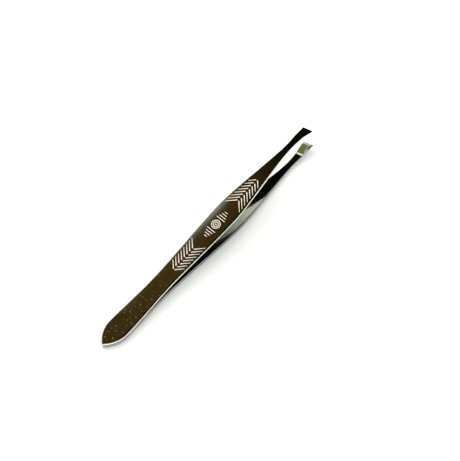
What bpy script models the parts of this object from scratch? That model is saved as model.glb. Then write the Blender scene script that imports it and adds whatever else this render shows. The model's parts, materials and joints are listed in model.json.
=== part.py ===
"""Slant tweezers: two bowed arms of stamped stainless strip, spot-welded face to face at the tail.

Tool frame (the empty "tool_frame"): X runs from the tail's nose to the tips, Y across the strip, Z through the
strip, and z = 0 is the plane where the two arms meet. Each arm is drawn as a flat blank, with its outline in X and
Y and its depth through the strip, and then formed: bowed outwards along X and folded inwards just before the tip.
The arms are their own springs. Each one bends at a flexure in front of the weld, so it is built as a heel, which is
welded, and a blade, which swings. The tool frame is tilted so that the tool lies on a level surface, on its tail and
on the belly of its lower arm. Units are metres, angles are radians, +Z is up.
"""

import math

import bmesh
import bpy
from mathutils import Vector

# Strip
LENGTH = 0.095
THICKNESS = 0.00125
EDGE_RADIUS = 0.00016
SEAM = 0.00004  # between the inner faces of the two arms at the weld

# Outline of the blank: the place and half-width of each widest or narrowest point
TAIL_X = 0.0072
TAIL_HALF = 0.00352
NOSE_POWER = 0.9  # 0.5 gives an elliptical tail, 1 a pointed one
WAIST_X = 0.0272
WAIST_HALF = 0.00288
GRIP_X = 0.0565
GRIP_HALF = 0.00371
NECK_X = 0.0866
NECK_HALF = 0.00096
NECK_SKEW = 0.21  # how far the shoulder keeps its width before it runs down to the neck
TIP_HALF = 0.00160

# Side profile of the inner face: flat at the weld, then one Bezier bow as far as the fold
WELD_END = 0.009
FOLD_X = 0.0907
FOLD_HEIGHT = 0.00508
FOLD_SLOPE = -0.09
BOW_START_PULL = 0.283
BOW_END_PULL = 0.154
FOLD_ANGLE = math.radians(13.0)
FOLD_BLEND = 0.0005

# Slanted tip
SLANT = math.radians(14.5)
SLANT_START = 0.080

# Flexure between heel and blade
FLEXURE_X = 0.0247
FLEXURE_GAP = 0.0001
CLOSING_ANGLE = math.radians(3.25)  # each blade's swing from open to closed
CLOSED_GAP = 0.00002  # between the closed tips

# Spot welds
WELD_PLACES = {"spot_weld_rear": 0.0042, "spot_weld_front": 0.0075}
NUGGET_RADIUS = 0.0012
NUGGET_DEPTH = 0.00034  # into each arm, past its inner face
NUGGET_CLEARANCE = 0.00006

# Facets
NOSE_STATIONS = 12
STATION_STEP = 0.0020
FINE_STEP = 0.00025
LAND_STEP = 0.00012
LAND_STEPS = 8  # rings of facets that follow the ground land of the tip
CORNER_SEGMENTS = 2
NUGGET_SIDES = 32
FIRST_STATION = 0.00002

STEEL = ("polished_steel", (0.55, 0.54, 0.52, 1.0), 0.10)
WELD_STEEL = ("weld_steel", (0.36, 0.35, 0.34, 1.0), 0.45)


def ease(t):
    """Smooth step from 0 to 1 with level ends."""
    t = min(max(t, 0.0), 1.0)
    return t * t * (3.0 - 2.0 * t)


def half_width(x):
    """Half the width of the strip at x."""
    if x < TAIL_X:
        back = (TAIL_X - x) / TAIL_X
        return TAIL_HALF * (1.0 - back * back) ** NOSE_POWER
    if x < WAIST_X:
        return TAIL_HALF + (WAIST_HALF - TAIL_HALF) * ease((x - TAIL_X) / (WAIST_X - TAIL_X))
    if x < GRIP_X:
        return WAIST_HALF + (GRIP_HALF - WAIST_HALF) * ease((x - WAIST_X) / (GRIP_X - WAIST_X))
    if x < NECK_X:
        t = (x - GRIP_X) / (NECK_X - GRIP_X)
        t += NECK_SKEW * t * (1.0 - t) * (1.0 - 2.0 * t)
        return GRIP_HALF + (NECK_HALF - GRIP_HALF) * ease(t)
    t = min((x - NECK_X) / (LENGTH - NECK_X), 1.0)
    return NECK_HALF + (TIP_HALF - NECK_HALF) * 0.5 * (ease(t) + t * t)


def bow(x):
    """Height of the inner face at x, before the fold."""
    if x <= WELD_END:
        return 0.0
    run = FOLD_X - WELD_END
    if x >= FOLD_X:
        return FOLD_HEIGHT + FOLD_SLOPE * (x - FOLD_X)
    x1 = BOW_START_PULL * run
    x2 = run - BOW_END_PULL * run
    z2 = FOLD_HEIGHT - FOLD_SLOPE * BOW_END_PULL * run
    low, high = 0.0, 1.0
    for _ in range(40):
        t = 0.5 * (low + high)
        s = 1.0 - t
        if 3.0 * s * s * t * x1 + 3.0 * s * t * t * x2 + t * t * t * run < x - WELD_END:
            low = t
        else:
            high = t
    return 3.0 * s * t * t * z2 + t * t * t * FOLD_HEIGHT


def fold(xi):
    """How far the fold has brought the strip inwards at xi, the place measured along the slanted tip."""
    past = xi - FOLD_X
    if past <= -FOLD_BLEND:
        return 0.0
    slope = math.tan(FOLD_ANGLE)
    if past >= FOLD_BLEND:
        return slope * past
    return slope * (past + FOLD_BLEND) ** 2 / (4.0 * FOLD_BLEND)


def slant_shift(x, y):
    """How far a point of the blank lies short of its station, so that the tip ends on a slant."""
    share = ease((x - SLANT_START) / (FOLD_X - SLANT_START))
    return share * (y + TIP_HALF) * math.tan(SLANT)


def inner_height(station):
    """Height of the inner face over the meeting plane, the same all along a slanted line across the strip."""
    return SEAM / 2.0 + bow(station - slant_shift(station, 0.0)) - fold(station)


def form(station, y, depth):
    """Carries a point of the flat blank to the formed upper arm; depth goes from the inner face to the outer."""
    step = 0.00002
    x = station - slant_shift(station, y)
    z = inner_height(station)
    ahead = station + step
    along_x = Vector((ahead - slant_shift(ahead, y) - x, 0.0, inner_height(ahead) - z))
    along_y = Vector((slant_shift(station, y) - slant_shift(station, y + step), step, 0.0))
    return Vector((x, y, z)) + depth * along_x.cross(along_y).normalized()


def pivot():
    """Centre of the upper arm's flexure, on the middle of the strip's thickness."""
    return form(FLEXURE_X, 0.0, THICKNESS / 2.0)


def ground(point):
    """Grinds a point back to the plane where the closed tips meet."""
    arm = point - pivot()
    closed_height = point.z - arm.z + arm.z * math.cos(CLOSING_ANGLE) - arm.x * math.sin(CLOSING_ANGLE)
    short = CLOSED_GAP / 2.0 - closed_height
    if short <= 0.0:
        return point
    return Vector((point.x, point.y, point.z + short / math.cos(CLOSING_ANGLE)))


def section(station):
    """Corners of the strip's section at a station: (y, depth) points of a rectangle with rounded edges."""
    half = half_width(station)
    radius = min(EDGE_RADIUS, half / 2.0)
    points = []
    for corner, (side, top) in enumerate(((1, 0), (1, 1), (-1, 1), (-1, 0))):
        centre_y = side * (half - radius)
        centre_d = THICKNESS - radius if top else radius
        for i in range(CORNER_SEGMENTS + 1):
            angle = math.radians(-90.0 + 90.0 * corner + 90.0 * i / CORNER_SEGMENTS)
            points.append((centre_y + radius * math.cos(angle), centre_d + radius * math.sin(angle)))
    return points


def stations(start, end):
    """Places along the blank between start and end: close together round the nose, at the fold and at the land."""
    places = {start, end}
    for i in range(1, NOSE_STATIONS):
        places.add(TAIL_X * (1.0 - math.cos(math.pi / 2.0 * i / NOSE_STATIONS)))
    x = TAIL_X
    while x < FOLD_X - 2.0 * FOLD_BLEND:
        places.add(x)
        x += STATION_STEP
    x = FOLD_X - FOLD_BLEND
    while x <= FOLD_X + FOLD_BLEND:
        places.add(x)
        x += FINE_STEP
    x = FOLD_X + 2.0 * FOLD_BLEND
    while x < LENGTH - LAND_STEP * (LAND_STEPS + 1):
        places.add(x)
        x += STATION_STEP / 2.0
    for i in range(1, LAND_STEPS + 1):
        places.add(LENGTH - LAND_STEP * i)
    margin = LAND_STEP / 2.0
    return sorted(p for p in places if p in (start, end) or start + margin < p < end - margin)


def strip_mesh(name, start, end, side, origin):
    """A closed length of one arm between two stations; side is 1 for the upper arm and -1 for the lower."""
    bm = bmesh.new()
    rings = []
    for station in stations(start, end):
        ring = []
        for y, depth in section(station):
            point = form(station, y, depth)
            if station > FOLD_X:
                point = ground(point)
            point.z *= side
            ring.append(bm.verts.new(point - origin))
        rings.append(ring)
    count = len(rings[0])
    for ring, following in zip(rings, rings[1:]):
        for i in range(count):
            j = (i + 1) % count
            bm.faces.new((ring[i], ring[j], following[j], following[i]))
    bm.faces.new(rings[0])
    bm.faces.new(rings[-1])
    bmesh.ops.recalc_face_normals(bm, faces=bm.faces)
    mesh = bpy.data.meshes.new(name)
    bm.to_mesh(mesh)
    bm.free()
    mesh.shade_smooth()
    mesh.set_sharp_from_angle(angle=math.radians(30.0))
    return mesh


def make_material(name, colour, roughness):
    """A plain metal."""
    material = bpy.data.materials.new(name)
    material.use_nodes = True
    shader = material.node_tree.nodes["Principled BSDF"]
    shader.inputs["Base Color"].default_value = colour
    shader.inputs["Roughness"].default_value = roughness
    shader.inputs["Metallic"].default_value = 1.0
    return material


def add_object(name, mesh, parent, location, look):
    """A named object with its own material, placed in its parent's frame."""
    material_name, colour, roughness = look
    obj = bpy.data.objects.new(name, mesh)
    bpy.context.scene.collection.objects.link(obj)
    obj.parent = parent
    obj.location = location
    mesh.materials.append(make_material(f"{material_name}_{name}", colour, roughness))
    return obj


def add_empty(name):
    """A guide that carries other objects."""
    empty = bpy.data.objects.new(name, None)
    empty.empty_display_size = 0.01
    bpy.context.scene.collection.objects.link(empty)
    return empty


def disc_mesh(name, radius, height):
    """A short round plug, centred on its own origin."""
    bm = bmesh.new()
    bmesh.ops.create_cone(
        bm, cap_ends=True, segments=NUGGET_SIDES, radius1=radius, radius2=radius, depth=height
    )
    mesh = bpy.data.meshes.new(name)
    bm.to_mesh(mesh)
    bm.free()
    mesh.shade_smooth()
    mesh.set_sharp_from_angle(angle=math.radians(30.0))
    return mesh


def nugget_mesh(name):
    """A fused nugget: a disc whose rims are rounded towards the middle of each strip."""
    bm = bmesh.new()
    height = 2.0 * (NUGGET_DEPTH + SEAM / 2.0)
    bmesh.ops.create_cone(
        bm, cap_ends=True, segments=NUGGET_SIDES, radius1=NUGGET_RADIUS, radius2=NUGGET_RADIUS, depth=height
    )
    rims = [edge for edge in bm.edges if abs(edge.verts[0].co.z - edge.verts[1].co.z) < height / 2.0]
    bmesh.ops.bevel(bm, geom=rims, offset=NUGGET_DEPTH * 0.6, segments=2, profile=0.5, affect="EDGES")
    mesh = bpy.data.meshes.new(name)
    bm.to_mesh(mesh)
    bm.free()
    mesh.shade_smooth()
    mesh.set_sharp_from_angle(angle=math.radians(50.0))
    return mesh


def cut_pocket(heel, place, parent):
    """Cuts the pocket of one weld nugget into a heel's inner face."""
    depth = NUGGET_DEPTH + SEAM / 2.0 + NUGGET_CLEARANCE
    mesh = disc_mesh(f"pocket_{heel.name}", NUGGET_RADIUS + NUGGET_CLEARANCE, 2.0 * depth)
    cutter = bpy.data.objects.new(f"pocket_{heel.name}", mesh)
    bpy.context.scene.collection.objects.link(cutter)
    cutter.parent = parent
    cutter.location = (place, 0.0, 0.0)
    cutter.hide_render = True
    cutter.display_type = "WIRE"
    modifier = heel.modifiers.new("pocket", "BOOLEAN")
    modifier.operation = "DIFFERENCE"
    modifier.solver = "EXACT"
    modifier.object = cutter


def build_arm(name, side, tool):
    """One arm: a heel that holds the welds and a blade whose origin is on its flexure's axis."""
    heel_mesh = strip_mesh(f"{name}_heel", FIRST_STATION, FLEXURE_X - FLEXURE_GAP / 2.0, side, Vector())
    heel = add_object(f"{name}_heel", heel_mesh, tool, (0.0, 0.0, 0.0), STEEL)
    for place in WELD_PLACES.values():
        cut_pocket(heel, place, tool)
    axis = pivot()
    axis.z *= side
    blade_mesh = strip_mesh(f"{name}_blade", FLEXURE_X + FLEXURE_GAP / 2.0, LENGTH, side, axis)
    add_object(f"{name}_blade", blade_mesh, tool, axis, STEEL)


def rest_tilt():
    """Angle at which the lower arm's nose and belly both touch a level surface."""
    nose = form(FIRST_STATION, 0.0, THICKNESS)
    angles = []
    for station in stations(GRIP_X, LENGTH):
        point = form(station, 0.0, THICKNESS)
        angles.append(math.atan2(point.z - nose.z, point.x - nose.x))
    return max(angles)


def lay_down(tool):
    """Tilts the tool frame to its rest and brings the foot of the whole tool's box to the world's origin."""
    tool.rotation_euler = (0.0, -rest_tilt(), 0.0)
    bpy.context.view_layer.update()
    corners = []
    for obj in bpy.context.scene.objects:
        if obj.type == "MESH" and not obj.hide_render:
            corners.extend(obj.matrix_world @ vertex.co for vertex in obj.data.vertices)
    low = Vector(min(c[i] for c in corners) for i in range(3))
    high = Vector(max(c[i] for c in corners) for i in range(3))
    tool.location = (-(low.x + high.x) / 2.0, -(low.y + high.y) / 2.0, -low.z)


def main():
    for obj in list(bpy.data.objects):
        bpy.data.objects.remove(obj, do_unlink=True)
    tool = add_empty("tool_frame")
    build_arm("upper_arm", 1, tool)
    build_arm("lower_arm", -1, tool)
    for name, place in WELD_PLACES.items():
        add_object(name, nugget_mesh(name), tool, (place, 0.0, 0.0), WELD_STEEL)
    lay_down(tool)
    bpy.context.view_layer.update()


main()
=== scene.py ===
"""Looks of the slant tweezers: each arm as one unbroken strip of polished steel with an etched ornament."""
import json
import math

import bmesh
import bpy
import numpy as np
from mathutils import Matrix, Vector


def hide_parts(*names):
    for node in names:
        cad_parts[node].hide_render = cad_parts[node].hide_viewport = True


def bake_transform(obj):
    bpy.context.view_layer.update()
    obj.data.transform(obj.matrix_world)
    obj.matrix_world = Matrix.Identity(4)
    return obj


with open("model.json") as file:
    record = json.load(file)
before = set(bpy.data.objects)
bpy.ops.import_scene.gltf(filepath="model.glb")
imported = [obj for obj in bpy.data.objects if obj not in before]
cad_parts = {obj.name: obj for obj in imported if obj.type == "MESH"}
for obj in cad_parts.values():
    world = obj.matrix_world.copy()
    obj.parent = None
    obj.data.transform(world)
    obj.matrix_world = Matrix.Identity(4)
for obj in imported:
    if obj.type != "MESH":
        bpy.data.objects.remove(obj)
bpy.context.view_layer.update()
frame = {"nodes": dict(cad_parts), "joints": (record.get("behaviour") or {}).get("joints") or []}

MM = 0.001

# The strip, as the CAD model has it (millimetres)
LENGTH = 95.0
THICKNESS = 1.25
SEAM = 0.04
TAIL_X = 7.2
TAIL_HALF = 3.52
NOSE_POWER = 0.9
WAIST_X = 27.2
WAIST_HALF = 2.88
GRIP_X = 56.5
GRIP_HALF = 3.71
NECK_X = 86.6
NECK_HALF = 0.96
NECK_SKEW = 0.21
TIP_HALF = 1.60
WELD_END = 9.0
FOLD_X = 90.7
FOLD_HEIGHT = 5.08
FOLD_SLOPE = -0.09
BOW_START_PULL = 0.283
BOW_END_PULL = 0.154
FOLD_ANGLE = math.radians(13.0)
FOLD_BLEND = 0.5
SLANT = math.radians(14.5)
SLANT_START = 80.0
FLEXURE_X = 24.7
CLOSING_ANGLE = math.radians(3.25)
CLOSED_GAP = 0.02
WELD_PLACES = (4.2, 7.5)
POCKET_RADIUS = 1.26
POCKET_DEPTH = 0.40
FORM_STEP = 0.02  # distance over which the formed strip's slopes are measured
TILT_SAMPLES = 400

# The grid of the blank, along and across it
NOSE_STATIONS = (0.0, 0.30, 0.62, 0.98, 1.38, 1.82, 2.3)
STATION_RUNS = (  # start, end and number of steps
    (2.8, FOLD_X - 1.0, 174),
    (FOLD_X - 1.0, FOLD_X + 1.0, 20),
    (FOLD_X + 1.0, LENGTH - 1.2, 8),
    (LENGTH - 1.2, LENGTH, 16),
)
EDGE_STEPS = 5
MITRE_LIMIT = 0.5
SUPPORT = 0.05  # a loop this far inside each rounded edge keeps the flat faces flat to the eye
# Further loops, as shares of the way to the centre line
LOOP_SHARES = (0.03, 0.07, 0.12, 0.22, 0.36, 0.52, 0.70, 0.86)  # of the outer face
INNER_SHARES = (0.12, 0.30, 0.50, 0.70, 0.88)  # of the inner face
LOOP_STEP = 0.02  # least distance between neighbouring loops
TIP_ROOM = 0.8  # share of the way to the tip's end that the loops may take up

# Finish of the edges
OUTER_EDGE_RADIUS = 0.06
INNER_EDGE_RADIUS = 0.26  # over the weld
GRIP_EDGE_RADIUS = 0.44  # of the inner edges at the grip, where polishing has rounded them most
NECK_EDGE_RADIUS = 0.10  # of the inner edges along the neck
NARROWING = 0.8  # the inner edges reach that radius after this share of the way from the grip to the neck
TIP_EDGE_RADIUS = 0.05
TIP_EDGE_RUN = (5.0, 3.5)  # all edges sharpen from this far before the end, over this length
CROWN = 0.085  # polishing has left the outer face this much lower at its edges, at the grip
CROWN_POWER = 3.0
CROWN_FLAT = 2.6  # the face stays flat where the strip is narrower than twice this
ROLL_WIDTH = 0.42  # the outer face rolls off this close to its near edge
ROLL_RADIUS = 1.3
ROLL_START = (0.5, 3.0)  # the roll-off begins this far from the nose, and grows over this length
ROLL_END = (2.0, 4.0)  # the same from the tip's end
SMOOTH_ANGLE = math.radians(35.0)  # edges between faces that meet at more than this stay sharp
LAND_ANGLE = math.radians(2.5)  # the same round the land that is ground inside the tip
LAND_REGION = FOLD_X + 1.0  # the land lies beyond this
LAND_DEPTH = 0.01  # and no deeper in the strip than this

# Etched ornament on the outer faces
ETCH_DEPTH = 0.06
ETCH_MARGIN = 0.4  # nothing is etched this close to the edge of the strip
CUTTER_EXCESS = 0.5  # cutters reach this far past the face that they cut
ETCH_TOLERANCE = 1e-3
CAP_STEPS = 6  # corners round the end of a stroke, and round each circle below
RING_STEPS = 40
DOT_STEPS = 20
POCKET_STEPS = 64
STROKE = 0.34
CHEVRONS = 8
CHEVRON_GAP = 0.36  # from the centre line to a leg's inner end
CHEVRON_MARGIN = 0.62  # from a leg's outer end to the edge of the strip
CHEVRON_TAPER = 0.45  # a leg's width at its outer end, as a share of its width at the inner end
REAR_CHEVRON = (32.9, 41.7)  # apexes of the first and last chevron, which open towards the tip
FRONT_CHEVRON = (62.3, 71.0)  # these open towards the tail
CHEVRON_REACH = 2.1  # first guess of how far a leg reaches along the strip
ROSETTE_X = 52.1
ROSETTE_RINGS = ((1.50, 1.22), (0.92, 0.62))  # outer and inner radii
ROSETTE_DOT = 0.26
FAN_STROKE = 0.24
FAN_BARS = 4
FAN_PITCH = 0.86
FAN_FIRST = 2.25  # from the rosette's centre to the first bar on each side
FAN_HALVES = (1.55, 0.45)  # half lengths of the first and last bar


def ease(t):
    """A smooth step from 0 to 1."""
    t = min(max(t, 0.0), 1.0)
    return t * t * (3.0 - 2.0 * t)


def half_width(x):
    """Half the width of the strip at x."""
    if x < TAIL_X:
        back = (TAIL_X - x) / TAIL_X
        return TAIL_HALF * max(1.0 - back * back, 0.0) ** NOSE_POWER
    if x < WAIST_X:
        return TAIL_HALF + (WAIST_HALF - TAIL_HALF) * ease((x - TAIL_X) / (WAIST_X - TAIL_X))
    if x < GRIP_X:
        return WAIST_HALF + (GRIP_HALF - WAIST_HALF) * ease((x - WAIST_X) / (GRIP_X - WAIST_X))
    if x < NECK_X:
        t = (x - GRIP_X) / (NECK_X - GRIP_X)
        t += NECK_SKEW * t * (1.0 - t) * (1.0 - 2.0 * t)
        return GRIP_HALF + (NECK_HALF - GRIP_HALF) * ease(t)
    t = min((x - NECK_X) / (LENGTH - NECK_X), 1.0)
    return NECK_HALF + (TIP_HALF - NECK_HALF) * 0.5 * (ease(t) + t * t)


def bow(x):
    """Height of the inner face at x, before the fold."""
    if x <= WELD_END:
        return 0.0
    run = FOLD_X - WELD_END
    if x >= FOLD_X:
        return FOLD_HEIGHT + FOLD_SLOPE * (x - FOLD_X)
    x1 = BOW_START_PULL * run
    x2 = run - BOW_END_PULL * run
    z2 = FOLD_HEIGHT - FOLD_SLOPE * BOW_END_PULL * run
    low, high = 0.0, 1.0
    for _ in range(40):  # halves the interval until t is exact
        t = 0.5 * (low + high)
        s = 1.0 - t
        if 3.0 * s * s * t * x1 + 3.0 * s * t * t * x2 + t * t * t * run < x - WELD_END:
            low = t
        else:
            high = t
    return 3.0 * s * t * t * z2 + t * t * t * FOLD_HEIGHT


def fold(xi):
    """How far the fold has brought the strip inwards at a station."""
    past = xi - FOLD_X
    if past <= -FOLD_BLEND:
        return 0.0
    slope = math.tan(FOLD_ANGLE)
    if past >= FOLD_BLEND:
        return slope * past
    return slope * (past + FOLD_BLEND) ** 2 / (4.0 * FOLD_BLEND)


def slant_shift(x, y):
    """How far back the slant of the tip carries a point of the blank."""
    share = ease((x - SLANT_START) / (FOLD_X - SLANT_START))
    return share * (y + TIP_HALF) * math.tan(SLANT)


def inner_height(station):
    """Height of the formed inner face above the plane where the two arms meet."""
    return SEAM / 2.0 + bow(station - slant_shift(station, 0.0)) - fold(station)


def form(station, y, depth):
    """Carries a point of the flat blank to the formed upper arm, in the tool frame."""
    x = station - slant_shift(station, y)
    z = inner_height(station)
    ahead = station + FORM_STEP
    along_x = Vector((ahead - slant_shift(ahead, y) - x, 0.0, inner_height(ahead) - z))
    along_y = Vector((slant_shift(station, y) - slant_shift(station, y + FORM_STEP), FORM_STEP, 0.0))
    return Vector((x, y, z)) + depth * along_x.cross(along_y).normalized()


def crown(x, y):
    """How much the polished outer face has dropped at (x, y)."""
    half = half_width(x)
    if half < 0.01:
        return 0.0
    share = max((half - CROWN_FLAT) / (GRIP_HALF - CROWN_FLAT), 0.0)
    domed = CROWN * share ** 2 * min(abs(y) / half, 1.0) ** CROWN_POWER
    past = min(max(-y - half + ROLL_WIDTH, 0.0), ROLL_WIDTH)
    fade = ease((x - ROLL_START[0]) / ROLL_START[1]) * ease((LENGTH - ROLL_END[0] - x) / ROLL_END[1])
    return domed + fade * past * past / (2.0 * ROLL_RADIUS)


PIVOT = form(FLEXURE_X, 0.0, THICKNESS / 2.0)


def ground(point):
    """Grinds a point back to the plane where the closed tips meet."""
    arm = point - PIVOT
    closed_height = PIVOT.z + arm.z * math.cos(CLOSING_ANGLE) - arm.x * math.sin(CLOSING_ANGLE)
    short = CLOSED_GAP / 2.0 - closed_height
    if short > 0.0:
        point.z += short / math.cos(CLOSING_ANGLE)
    return point


def rest_tilt():
    """The angle at which the tool lies on its nose and on the belly of its lower arm."""
    nose = form(0.0, 0.0, THICKNESS)
    best = 0.0
    for i in range(TILT_SAMPLES):
        point = form(GRIP_X + (LENGTH - GRIP_X) * i / (TILT_SAMPLES - 1), 0.0, THICKNESS)
        best = max(best, math.atan2(point.z - nose.z, point.x - nose.x))
    return best


def tool_matrix():
    """The tool frame in the row frame: tilted as the tool lies, with the upper flexure on its joint."""
    turn = Matrix.Rotation(-rest_tilt(), 4, "Y")
    joint = next(j for j in frame["joints"] if j["name"] == "upper_arm_flex")
    place = Vector(joint["pos_m"]) - turn @ (PIVOT * MM)
    return Matrix.Translation(place) @ turn @ Matrix.Scale(MM, 4)


TOOL = tool_matrix()


def stations():
    """Places along the blank: close together round the nose, at the fold and at the tip."""
    places = list(NOSE_STATIONS)
    for start, end, count in STATION_RUNS:
        places.extend(start + (end - start) * i / count for i in range(count))
    return places + [LENGTH]


def outline(places):
    """The blank's outline, once round: nose, the near side to the tip, and the far side back."""
    near = [Vector((x, -half_width(x))) for x in places[1:]]
    far = [Vector((x, half_width(x))) for x in places[1:]]
    return [Vector((0.0, 0.0))] + near + far[::-1]


def outline_normals(points):
    """Outward mitre of the outline at each point: moving by it moves both neighbouring sides by one unit."""
    count = len(points)
    found = []
    for i, point in enumerate(points):
        before = (point - points[i - 1]).normalized()
        after = (points[(i + 1) % count] - point).normalized()
        n1 = Vector((before.y, -before.x))
        n2 = Vector((after.y, -after.x))
        mitre = (n1 + n2).normalized()
        found.append(mitre / max(mitre.dot(n1), MITRE_LIMIT))
    return found


def edge_arc():
    """Steps round a quarter of a circle from a face to the wall.

    They are shares of the radius: (inwards from the wall, away from the face).
    """
    angles = [math.pi / 2.0 * i / EDGE_STEPS for i in range(EDGE_STEPS + 1)]
    return [(1.0 - math.sin(angle), 1.0 - math.cos(angle)) for angle in angles]


def edge_radius(x, radius):
    """The edges get sharp towards the tip."""
    before_end, run = TIP_EDGE_RUN
    return radius + (TIP_EDGE_RADIUS - radius) * ease((x - (LENGTH - before_end)) / run)


def inner_edge_radius(x):
    """The inner edges are rounded most at the grip."""
    more = ease((x - WELD_END) / (GRIP_X - WELD_END))
    rounded = INNER_EDGE_RADIUS + (GRIP_EDGE_RADIUS - INNER_EDGE_RADIUS) * more
    less = ease((x - GRIP_X) / (NARROWING * (NECK_X - GRIP_X)))
    return edge_radius(x, rounded + (NECK_EDGE_RADIUS - rounded) * less)


def loop_insets(points, radii, index, share):
    """How far inside the outline one of the further loops runs, at each point."""
    insets = []
    for point, radius in zip(points, radii):
        base = radius + SUPPORT + LOOP_STEP * (index + 1)
        room = min(half_width(point.x) - base, TIP_ROOM * (LENGTH - point.x))
        insets.append(base + share * max(room, 0.0))
    return insets


def blank_mesh(name):
    """The flat blank: x along it, y across it and z through it, in millimetres."""
    points = outline(stations())
    normals = outline_normals(points)
    count = len(points)
    inner = [inner_edge_radius(point.x) for point in points]
    outer = [edge_radius(point.x, OUTER_EDGE_RADIUS) for point in points]
    bm = bmesh.new()
    rings = []

    def add_ring(inset, depth):
        ring = []
        for i, point in enumerate(points):
            moved = point - normals[i] * inset[i]
            ring.append(bm.verts.new((moved.x, moved.y, depth[i])))
        rings.append(ring)

    for index, share in reversed(list(enumerate(INNER_SHARES))):
        add_ring(loop_insets(points, inner, index, share), [0.0] * count)
    add_ring([r + SUPPORT for r in inner], [0.0] * count)
    for inwards, rise in edge_arc():
        add_ring([r * inwards for r in inner], [r * rise for r in inner])
    for inwards, rise in reversed(edge_arc()):
        add_ring([r * inwards for r in outer], [THICKNESS - r * rise for r in outer])
    add_ring([r + SUPPORT for r in outer], [THICKNESS] * count)
    for index, share in enumerate(LOOP_SHARES):
        add_ring(loop_insets(points, outer, index, share), [THICKNESS] * count)
    for low, high in zip(rings, rings[1:]):
        add_band(bm, low, high)
    for ring in (rings[0], rings[-1]):
        bm.faces.new((ring[0], ring[1], ring[-1]))
        for i in range(1, (count - 1) // 2):
            bm.faces.new((ring[i], ring[i + 1], ring[count - i - 1], ring[count - i]))
    bmesh.ops.recalc_face_normals(bm, faces=bm.faces)
    return new_mesh(name, bm)


def new_mesh(name, bm):
    """Turns a bmesh into a mesh and frees it."""
    mesh = bpy.data.meshes.new(name)
    bm.to_mesh(mesh)
    bm.free()
    return mesh


def new_object(name, data):
    """An object in the scene's own collection."""
    obj = bpy.data.objects.new(name, data)
    bpy.context.scene.collection.objects.link(obj)
    return obj


def add_band(bm, low, high):
    """Quads between two closed rings of vertices."""
    count = len(low)
    for i in range(count):
        j = (i + 1) % count
        bm.faces.new((low[i], low[j], high[j], high[i]))


def add_prism(bm, corners, low, high):
    """An upright prism over a closed polygon of (x, y) corners."""
    bottom = [bm.verts.new((x, y, low)) for x, y in corners]
    top = [bm.verts.new((x, y, high)) for x, y in corners]
    bm.faces.new(bottom)
    bm.faces.new(top)
    add_band(bm, bottom, top)


def add_tube(bm, x, outer, inner, low, high):
    """An upright ring with a hole."""
    rings = []
    for radius, z in ((outer, low), (outer, high), (inner, high), (inner, low)):
        rings.append([bm.verts.new((cx, cy, z)) for cx, cy in ring_corners(x, radius, RING_STEPS)])
    for a, b in zip(rings, rings[1:] + rings[:1]):
        add_band(bm, a, b)


def stroke_corners(start, end, width, end_width):
    """A straight stroke with rounded ends, as corners."""
    run = (end - start).normalized()
    across = Vector((-run.y, run.x))
    corners = []
    for centre, sign, across_width in ((start, -1.0, width), (end, 1.0, end_width)):
        for i in range(CAP_STEPS + 1):
            angle = math.pi * (i / CAP_STEPS - 0.5)
            offset = run * (sign * math.cos(angle)) + across * (sign * math.sin(angle))
            corners.append(tuple(centre + offset * across_width / 2.0))
    return corners


def ring_corners(x, radius, steps):
    """A circle round (x, 0), as corners."""
    angles = [math.tau * i / steps for i in range(steps)]
    return [(x + radius * math.cos(angle), radius * math.sin(angle)) for angle in angles]


def chevron_strokes(first, last, opening):
    """Both legs of a row of chevrons; opening is 1 when they open towards the tip and -1 towards the tail."""
    for i in range(CHEVRONS):
        apex = first + (last - first) * i / (CHEVRONS - 1)
        reach = CHEVRON_REACH
        for _ in range(6):  # settles on the reach that leaves the margin where the leg ends
            reach = half_width(apex + opening * reach) - CHEVRON_MARGIN - CHEVRON_GAP
        for side in (-1.0, 1.0):
            inner = Vector((apex, side * CHEVRON_GAP))
            outer = Vector((apex + opening * reach, side * (CHEVRON_GAP + reach)))
            yield inner, outer


def ornament_cutter(name, with_rosette):
    """Everything that is etched, as upright prisms that reach the etched floor."""
    low = THICKNESS - ETCH_DEPTH
    high = THICKNESS + CUTTER_EXCESS
    bm = bmesh.new()
    for first_last, opening in ((REAR_CHEVRON, 1.0), (FRONT_CHEVRON, -1.0)):
        for inner, outer in chevron_strokes(*first_last, opening):
            add_prism(bm, stroke_corners(inner, outer, STROKE, STROKE * CHEVRON_TAPER), low, high)
    if with_rosette:
        add_prism(bm, ring_corners(ROSETTE_X, ROSETTE_DOT, DOT_STEPS), low, high)
        for outer, inner in ROSETTE_RINGS:
            add_tube(bm, ROSETTE_X, outer, inner, low, high)
        for i in range(FAN_BARS):
            half = FAN_HALVES[0] + (FAN_HALVES[1] - FAN_HALVES[0]) * i / (FAN_BARS - 1)
            for side in (-1.0, 1.0):
                x = ROSETTE_X + side * (FAN_FIRST + FAN_PITCH * i)
                bar = stroke_corners(Vector((x, -half)), Vector((x, half)), FAN_STROKE, FAN_STROKE)
                add_prism(bm, bar, low, high)
    bmesh.ops.recalc_face_normals(bm, faces=bm.faces)
    return new_object(name, new_mesh(name, bm))


def pocket_cutter(name):
    """The pockets in the inner face that hold the weld nuggets."""
    bm = bmesh.new()
    for x in WELD_PLACES:
        add_prism(bm, ring_corners(x, POCKET_RADIUS, POCKET_STEPS), -CUTTER_EXCESS, POCKET_DEPTH)
    bmesh.ops.recalc_face_normals(bm, faces=bm.faces)
    return new_object(name, new_mesh(name, bm))


def cut(obj, cutters):
    """Cuts the cutters out of obj's mesh, and removes them."""
    for cutter in cutters:
        modifier = obj.modifiers.new(cutter.name, "BOOLEAN")
        modifier.operation = "DIFFERENCE"
        modifier.solver = "EXACT"
        modifier.object = cutter
    result = bpy.data.meshes.new_from_object(obj.evaluated_get(bpy.context.evaluated_depsgraph_get()))
    obj.modifiers.clear()
    obj.data = result
    for cutter in cutters:
        bpy.data.objects.remove(cutter, do_unlink=True)


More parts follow.
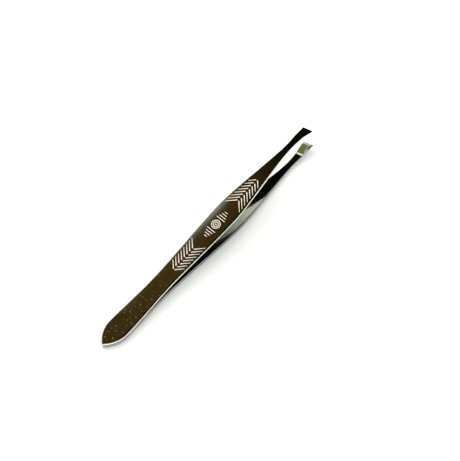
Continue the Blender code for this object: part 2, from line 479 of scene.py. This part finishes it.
def form_mesh(mesh, side):
    """Bends the cut blank into an arm, and keeps the blank's coordinates for the materials to follow."""
    blank = mesh.attributes.new("blank", "FLOAT_VECTOR", "POINT")
    count = len(mesh.vertices)
    flat = np.empty(count * 3, np.float32)
    mesh.vertices.foreach_get("co", flat)
    blank.data.foreach_set("vector", flat)
    for vertex in mesh.vertices:
        x, y, depth = vertex.co
        if depth > THICKNESS / 2.0:
            depth -= crown(x, y)
        point = form(x, y, depth)
        if x > FOLD_X:
            point = ground(point)
        point.z *= side
        vertex.co = TOOL @ point
    if side < 0:
        mesh.flip_normals()


def sharpen_land(mesh):
    """Marks the border of the land that was ground on the inner face of the tip as a sharp edge."""
    bm = bmesh.new()
    bm.from_mesh(mesh)
    blank = bm.verts.layers.float_vector["blank"]
    for edge in bm.edges:
        places = [vertex[blank] for vertex in edge.verts]
        at_land = all(place.x > LAND_REGION and place.z < LAND_DEPTH for place in places)
        if at_land and len(edge.link_faces) == 2 and edge.calc_face_angle() > LAND_ANGLE:
            edge.smooth = False
    bm.to_mesh(mesh)
    bm.free()


def etched_faces(mesh):
    """Faces of the etched strokes, floor and walls, in the flat blank."""
    floor = THICKNESS - ETCH_DEPTH
    found = []
    for face in mesh.polygons:
        depths = [mesh.vertices[i].co.z for i in face.vertices]
        centre = face.center
        inside = abs(centre.y) < half_width(centre.x) - ETCH_MARGIN
        found.append(inside and abs(min(depths) - floor) < ETCH_TOLERANCE)
    return found


def build_arm(name, side, with_rosette, steel, etched):
    """One whole arm: side is 1 for the upper arm and -1 for the lower arm, its mirror image."""
    obj = new_object(name, blank_mesh(name))
    cut(obj, [ornament_cutter(name + "_ornament", with_rosette), pocket_cutter(name + "_pockets")])
    mesh = obj.data
    mesh.name = name
    mesh.materials.clear()
    mesh.materials.append(steel)
    mesh.materials.append(etched)
    marks = etched_faces(mesh)
    form_mesh(mesh, side)
    mesh.polygons.foreach_set("material_index", [int(m) for m in marks])
    mesh.shade_smooth()
    mesh.set_sharp_from_angle(angle=SMOOTH_ANGLE)
    sharpen_land(mesh)
    mesh.update()
    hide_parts(name + "_heel", name + "_blade")
    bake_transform(obj)


# ---------------------------------------------------------------- materials

SATIN_START = 94.4  # from here to the end, the land that is ground inside the tip is satin
SATIN = 0.65  # how far it is from a mirror there
SATIN_CORNER = (-1.25, -0.95)  # the land's near corner stays polished
INNER_FACE = (0.02, 0.30)  # depths over which the inner face gives way to the walls
INNER_DULL_AND_SHADE_RUN = (46.0, 67.0)  # where the dullness and painted shade of the inner face fade out
INNER_DULL_AND_SHADE = (0.72, 0.10)  # how strong they are before and after that: painted shade darkens the inner face's colour by this share, where the gap between the arms is dark, and a little roughness goes with it
WORN_RUN = (10.0, 55.0)  # where the stains of the outer faces fade out
SPECK_SIZE = (0.03, 0.20)  # radii of a speck's core and rim, in cells of 1.25 mm
SPECK_STRENGTH = 0.34
SPECK_CHANCE = (0.45, 1.0)
HAZE_STRENGTH = 0.012
INSIDE_TINT = (0.945, 1.0, 1.0, 1.0)
STAIN_TINT = (1.0, 0.86, 0.62, 1.0)
STEEL_TINTS = ((0.3, (0.69, 0.67, 0.61)), (0.7, (0.76, 0.74, 0.68)))
# Painted light on the near side walls, as (x, factor on the wall's colour): the upper arm's wall gets a
# painted highlight. The lower arm's wall gets painted shade along the grip, where its contact shadow falls,
# and is plain to a little brighter at the tip.
UPPER_WALL_PAINTED_HIGHLIGHT = ((0.0, 1.3), (95.0, 1.3))
LOWER_WALL_PAINTED_SHADE = (
    (0.0, 0.6), (12.0, 0.34), (48.0, 0.16), (66.0, 0.10), (74.0, 0.20), (83.0, 0.9), (95.0, 1.2),
)


class Graph:
    """A short way to write a node tree."""

    def __init__(self, tree):
        self.tree = tree

    def node(self, kind, **settings):
        """Adds a node: inputs go to its sockets, and the rest are its properties."""
        node = self.tree.nodes.new("ShaderNode" + kind)
        inputs = settings.pop("inputs", {})
        for key, value in settings.items():
            setattr(node, key, value)
        self.feed(node, inputs)
        return node

    def feed(self, node, inputs):
        """Links the inputs that are sockets, and sets the others as values."""
        for key, value in inputs.items():
            if isinstance(value, bpy.types.NodeSocket):
                self.tree.links.new(value, node.inputs[key])
            else:
                node.inputs[key].default_value = value

    def calculate(self, operation, *operands, **settings):
        inputs = dict(enumerate(operands))
        return self.node("Math", operation=operation, inputs=inputs, **settings).outputs["Value"]

    def ranged(self, value, start, end, low=0.0, high=1.0):
        """Carries start to low and end to high, and clamps."""
        inputs = {"Value": value, "From Min": start, "From Max": end, "To Min": low, "To Max": high}
        return self.node("MapRange", inputs=inputs).outputs["Result"]

    def noise(self, place, detail, scale=1.0):
        inputs = {"Vector": place, "Scale": scale, "Detail": detail}
        return self.node("TexNoise", inputs=inputs).outputs

    def mix(self, blend_type, factor, a, b):
        inputs = {"Factor": factor, "A": a, "B": b}
        return self.node("Mix", data_type="RGBA", blend_type=blend_type, inputs=inputs).outputs["Result"]

    def ramp(self, factor, stops, interpolation="LINEAR"):
        """Colours along a value; stops are (position, colour)."""
        node = self.node("ValToRGB", inputs={"Fac": factor})
        node.color_ramp.interpolation = interpolation
        elements = node.color_ramp.elements
        while len(elements) < len(stops):
            elements.new(0.5)
        for element, (position, colour) in zip(elements, stops):
            element.position = position
            element.color = (*colour, 1.0)
        return node.outputs["Color"]


def new_material(name):
    """A new material, the graph of its node tree, and its shader."""
    material = bpy.data.materials.new(name)
    material.use_nodes = True
    return material, Graph(material.node_tree), material.node_tree.nodes["Principled BSDF"]


def grey(brightness):
    return (brightness, brightness, brightness)


def blank_coordinates(g, scale):
    """The place on the flat blank, stretched by scale."""
    place = g.node("Attribute", attribute_name="blank").outputs["Vector"]
    return g.node("Mapping", inputs={"Vector": place, "Scale": scale}).outputs["Vector"]


def specks(g):
    """Small ragged specks, as the strength of each."""
    wobble = g.noise(blank_coordinates(g, (7.0, 7.0, 7.0)), 3.0)["Color"]
    offset = g.node("VectorMath", operation="SCALE", inputs={0: wobble, "Scale": 0.10}).outputs["Vector"]
    even = blank_coordinates(g, (0.8, 0.8, 0.8))
    ragged = g.node("VectorMath", operation="ADD", inputs={0: even, 1: offset}).outputs["Vector"]
    inputs = {"Vector": ragged, "Scale": 1.0}
    cells = g.node("TexVoronoi", voronoi_dimensions="2D", inputs=inputs).outputs
    spot = g.ranged(cells["Distance"], *SPECK_SIZE, SPECK_STRENGTH, 0.0)
    chance = g.node("SeparateXYZ", inputs={"Vector": cells["Color"]}).outputs["X"]
    return g.calculate("MULTIPLY", spot, g.ranged(chance, *SPECK_CHANCE))


def stains(g, place):
    """Specks and a faint haze on the outer faces, towards the tail."""
    haze = g.noise(blank_coordinates(g, (0.5, 0.8, 0.8)), 3.0)["Fac"]
    flaws = g.calculate("ADD", specks(g), g.ranged(haze, 0.45, 0.75, 0.0, HAZE_STRENGTH))
    worn = g.ranged(place["X"], *WORN_RUN, 1.0, 0.0)
    outside = g.ranged(place["Z"], THICKNESS - 0.05, THICKNESS)
    return g.calculate("MULTIPLY", flaws, g.calculate("MULTIPLY", worn, outside))


def land_satin(g, place, inside):
    """The satin end of the land that is ground inside the tip."""
    along = g.ranged(place["X"], SATIN_START - 0.1, SATIN_START, 0.0, SATIN)
    whole = g.calculate("MULTIPLY", inside, along)
    return g.calculate("MULTIPLY", whole, g.ranged(place["Y"], *SATIN_CORNER))


def painted_light_wall_mask(g, place):
    """The side wall on the near side, between the two rounded edges: the mask for the walls' painted
    highlight and painted shade.
    """
    under = g.ranged(place["Z"], THICKNESS - 0.14, THICKNESS - 0.05, 1.0, 0.0)
    over = g.ranged(place["Z"], 0.15, 0.45)
    near = g.ranged(place["Y"], -0.5, -0.1, 1.0, 0.0)
    return g.calculate("MULTIPLY", g.calculate("MULTIPLY", under, over), near)


def steel_material(name, wall_painted_light):
    """Mirror-polished stainless steel: faint polishing lines along the strip, slow waves, stains, and painted
    shade on the inner face towards the tail.

    wall_painted_light holds (x, painted brightness of the near side wall there): painted highlight or painted
    shade.
    """
    material, g, shader = new_material(name)
    place = g.node("SeparateXYZ", inputs={"Vector": blank_coordinates(g, (1.0, 1.0, 1.0))}).outputs
    lines = g.noise(blank_coordinates(g, (0.5, 9.0, 9.0)), 6.0)["Fac"]
    waves = g.noise(blank_coordinates(g, (0.12, 0.3, 0.3)), 2.0)["Fac"]
    inside = g.ranged(place["Z"], *INNER_FACE, 1.0, 0.0)
    dullness_and_shade = g.calculate("MULTIPLY", inside, g.ranged(place["X"], *INNER_DULL_AND_SHADE_RUN, *INNER_DULL_AND_SHADE))
    stained = stains(g, place)
    satin = land_satin(g, place, inside)

    stain = g.calculate("MULTIPLY", stained, 6.0, use_clamp=True)
    warm = g.mix("MULTIPLY", stain, g.ramp(waves, STEEL_TINTS), STAIN_TINT)
    cool = g.mix("MULTIPLY", inside, warm, INSIDE_TINT)
    # Painted shade: the inner face's colour is darkened towards the tail, where the gap between the arms is
    # dark.
    painted_shade_scale = g.calculate("SUBTRACT", 1.0, dullness_and_shade)
    colour = g.node("VectorMath", operation="SCALE", inputs={0: cool, "Scale": painted_shade_scale}).outputs["Vector"]
    # Painted light: the near wall's colour is scaled along the strip, a painted highlight on the upper arm
    # and painted shade on the lower arm.
    painted_light_stops = [(x / LENGTH, grey(gain)) for x, gain in wall_painted_light]
    painted_light_scale = g.ramp(g.ranged(place["X"], 0.0, LENGTH), painted_light_stops)

    rough = g.ranged(lines, 0.3, 0.7, 0.045, 0.095)
    dull = g.calculate("MULTIPLY_ADD", dullness_and_shade, 0.08, rough)
    relief = g.calculate("MULTIPLY_ADD", lines, 0.12, waves)
    bump = g.node("Bump", inputs={"Height": relief, "Strength": 0.06, "Distance": 0.0002})
    g.feed(shader, {
        "Base Color": g.mix("MULTIPLY", painted_light_wall_mask(g, place), colour, painted_light_scale),
        "Metallic": g.calculate("SUBTRACT", 1.0, g.calculate("ADD", stained, satin)),
        "Roughness": g.calculate("MULTIPLY_ADD", satin, 0.6, dull),
        "Normal": bump.outputs["Normal"],
    })
    return material


def etched_material(name):
    """The frosted floor of the etched strokes."""
    material, g, shader = new_material(name)
    grain = g.noise(blank_coordinates(g, (14.0, 14.0, 14.0)), 4.0)["Fac"]
    bump = g.node("Bump", inputs={"Height": grain, "Strength": 0.5, "Distance": 0.00002})
    g.feed(shader, {
        "Base Color": g.ramp(grain, ((0.3, (0.80, 0.74, 0.64)), (0.7, (0.96, 0.91, 0.82)))),
        "Metallic": 0.15,
        "Roughness": g.ranged(grain, 0.0, 1.0, 0.5, 0.8),
        "Normal": bump.outputs["Normal"],
    })
    return material


def weld_material(name):
    """Fused steel inside the weld: dull and mottled."""
    material, g, shader = new_material(name)
    mottle = g.noise(g.node("TexCoord").outputs["Object"], 3.0, 3000.0)["Fac"]
    g.feed(shader, {
        "Base Color": g.ramp(mottle, ((0.0, (0.22, 0.21, 0.20)), (1.0, (0.46, 0.44, 0.42)))),
        "Metallic": 1.0,
        "Roughness": g.ranged(mottle, 0.0, 1.0, 0.35, 0.6),
    })
    return material


def floor_material(name):
    """A pale table top with next to no pattern."""
    material, g, shader = new_material(name)
    grain = g.noise(g.node("TexCoord").outputs["Object"], 2.0, 40.0)["Fac"]
    g.feed(shader, {
        "Base Color": g.ramp(grain, ((0.0, (0.93, 0.93, 0.92)), (1.0, (0.96, 0.96, 0.96)))),
        "Roughness": 0.9,
        "Specular IOR Level": 0.1,
    })
    return material


# ---------------------------------------------------------------- surroundings

PLAN_ANGLE = math.radians(47.3)  # from the camera's right to the tool's axis, seen from above
ELEVATION = math.radians(60.8)
ROLL = math.radians(0.65)
CAMERA_DISTANCE = 1.2
PIXELS_PER_MM = 3.24
PICTURE_HEIGHT = 461
AIM_OFFSET = (7.2, 2.85)  # how far the aim point lies right of and above the tool's middle, in millimetres

# The studio's colours: (degrees away from a direction, colour), from far to near
WALL_STOPS = (  # straight up
    (90.0, (0.98, 1.0, 0.95)),
    (79.0, (0.94, 0.96, 0.91)),
    (71.0, (0.004, 0.005, 0.003)),
    (0.0, (0.002, 0.002, 0.0015)),
)
WINDOW = (-86.0, 75.0)  # azimuth and elevation in degrees
WINDOW_STOPS = (
    (13.5, (0.0, 0.0, 0.0)),
    (11.0, (0.098, 0.084, 0.017)),
    (8.8, (0.25, 0.228, 0.075)),
    (6.5, (0.80, 0.77, 0.58)),
    (4.0, (1.5, 1.46, 1.32)),
)
SCREEN = (-38.0, 60.5)
SCREEN_STOPS = (
    (8.5, (0.0, 0.0, 0.0)),
    (5.5, (0.12, 0.13, 0.115)),
    (3.0, (0.36, 0.38, 0.35)),
)

LAMP_DISTANCE = 1.2
LAMPS = (  # name, azimuth and elevation in degrees, diameter in metres, radiance and colour
    ("main_light", -65.0, 62.0, 1.6, 0.80, (1.0, 0.98, 0.94)),
    ("ceiling", 0.0, 88.0, 4.0, 1.32, (0.99, 1.0, 0.98)),
)
CARD_PLACE = (-63.0, 90.0, 300.0)  # right of, beyond and above the tool's middle, in millimetres
CARD_SIZE = 0.22
CARD_RADIANCE = 0.053
CARD_COLOUR = (1.0, 0.57, 0.058)
CARD_FADE = (  # share of the radius, brightness
    (0.1, 1.0), (0.26, 0.72), (0.36, 0.5), (0.5, 0.30), (0.64, 0.15), (0.84, 0.03), (1.0, 0.0),
)
FLOOR_RADIUS = 4.0
FLOOR_GAP = 0.00002  # the floor lies this far below the tool


def from_table(right, away, up):
    """A direction given as the viewer sees the table, in the row frame."""
    c, s = math.cos(PLAN_ANGLE), math.sin(PLAN_ANGLE)
    return Vector((right * c + away * s, -right * s + away * c, up))


def direction(azimuth, elevation):
    """A direction in degrees: azimuth is 0 away from the viewer and 90 to the viewer's right."""
    a, e = math.radians(azimuth), math.radians(elevation)
    return from_table(math.sin(a) * math.cos(e), math.cos(a) * math.cos(e), math.sin(e))


def add_camera(middle):
    """The photo's point of view."""
    look = from_table(0.0, math.cos(ELEVATION), -math.sin(ELEVATION))
    right = from_table(1.0, 0.0, 0.0)
    up = right.cross(look)
    aim = middle + (right * AIM_OFFSET[0] + up * AIM_OFFSET[1]) * MM
    data = bpy.data.cameras.new("camera")
    data.sensor_fit = "VERTICAL"
    data.sensor_height = 36.0
    data.lens = PIXELS_PER_MM * CAMERA_DISTANCE / MM * data.sensor_height / PICTURE_HEIGHT
    data.clip_end = 20.0
    camera = new_object("camera", data)
    place = Matrix.Translation(aim - look * CAMERA_DISTANCE)
    turn = Matrix((right, up, -look)).transposed().to_4x4()
    camera.matrix_world = place @ turn @ Matrix.Rotation(-ROLL, 4, "Z")
    bpy.context.scene.camera = camera


def add_light(name, place, target, size, radiance, colour):
    """A round lamp at place that faces target; radiance is what its middle looks like."""
    data = bpy.data.lights.new(name, "AREA")
    data.shape = "DISK"
    data.size = size
    data.energy = radiance * math.pi * math.pi * size * size / 4.0
    data.color = colour
    light = new_object(name, data)
    turn = (place - target).to_track_quat("Z", "Y").to_matrix().to_4x4()
    light.matrix_world = Matrix.Translation(place) @ turn
    light.visible_camera = False
    return light


def soften_light(light, fade):
    """Fades a round lamp from its middle to its rim; fade holds (share of the radius, brightness)."""
    light.data.use_nodes = True
    g = Graph(light.data.node_tree)
    place = g.node("NewGeometry").outputs["Parametric"]
    centre = (0.5, 0.5, 0.0)
    distance = g.node("VectorMath", operation="DISTANCE", inputs={0: place, 1: centre}).outputs["Value"]
    stops = [(share * 0.5, grey(brightness)) for share, brightness in fade]
    g.feed(g.tree.nodes["Emission"], {"Strength": g.ramp(distance, stops, "EASE")})


def add_lights(middle):
    """Two soft lamps that light the scene, and a brown card that only the steel reflects."""
    for name, azimuth, elevation, size, radiance, colour in LAMPS:
        place = middle + direction(azimuth, elevation) * LAMP_DISTANCE
        lamp = add_light(name, place, middle, size, radiance, colour)
        lamp.visible_glossy = False
    place = from_table(*CARD_PLACE) * MM
    card = add_light("brown_card", place, middle, CARD_SIZE, CARD_RADIANCE, CARD_COLOUR)
    card.visible_diffuse = False
    soften_light(card, CARD_FADE)


def add_world():
    """A studio: white low down, a black ceiling, a pale window high on the left and a grey screen."""
    world = bpy.data.worlds.new("studio")
    bpy.context.scene.world = world
    world.use_nodes = True
    g = Graph(world.node_tree)
    place = g.node("TexCoord").outputs["Generated"]

    def lobe(towards, stops):
        """Colours by the angle from a direction."""
        dot = g.node("VectorMath", operation="DOT_PRODUCT", inputs={0: place, 1: towards}).outputs["Value"]
        return g.ramp(dot, [(math.cos(math.radians(angle)), colour) for angle, colour in stops])

    walls = lobe((0.0, 0.0, 1.0), WALL_STOPS)
    window = lobe(direction(*WINDOW), WINDOW_STOPS)
    screen = lobe(direction(*SCREEN), SCREEN_STOPS)
    both = g.mix("ADD", 1.0, walls, window)
    g.feed(g.tree.nodes["Background"], {"Color": g.mix("ADD", 1.0, both, screen)})


def add_floor():
    """A plain pale table top, a hair below the tool."""
    bm = bmesh.new()
    bmesh.ops.create_circle(bm, cap_ends=True, segments=96, radius=FLOOR_RADIUS)
    floor = new_object("floor", new_mesh("floor", bm))
    floor.data.materials.append(floor_material("pale_floor"))
    floor.location.z = -FLOOR_GAP


def main():
    etched = etched_material("etched_steel")
    # The two steels differ only in the painted highlight or painted shade on the near wall.
    upper_steel_painted_highlight = steel_material("polished_steel_painted_highlight_wall", UPPER_WALL_PAINTED_HIGHLIGHT)
    lower_steel_painted_shade = steel_material("polished_steel_painted_shade_wall", LOWER_WALL_PAINTED_SHADE)
    build_arm("upper_arm", 1, True, upper_steel_painted_highlight, etched)
    build_arm("lower_arm", -1, False, lower_steel_painted_shade, etched)
    weld = weld_material("weld_steel")
    for name in ("spot_weld_rear", "spot_weld_front"):
        node = frame["nodes"][name]
        node.data.materials.clear()
        node.data.materials.append(weld)
    middle = TOOL @ Vector((LENGTH / 2.0, 0.0, 0.0))
    add_floor()
    add_camera(middle)
    add_world()
    add_lights(middle)
    bpy.context.scene.view_settings.view_transform = "Standard"


main()
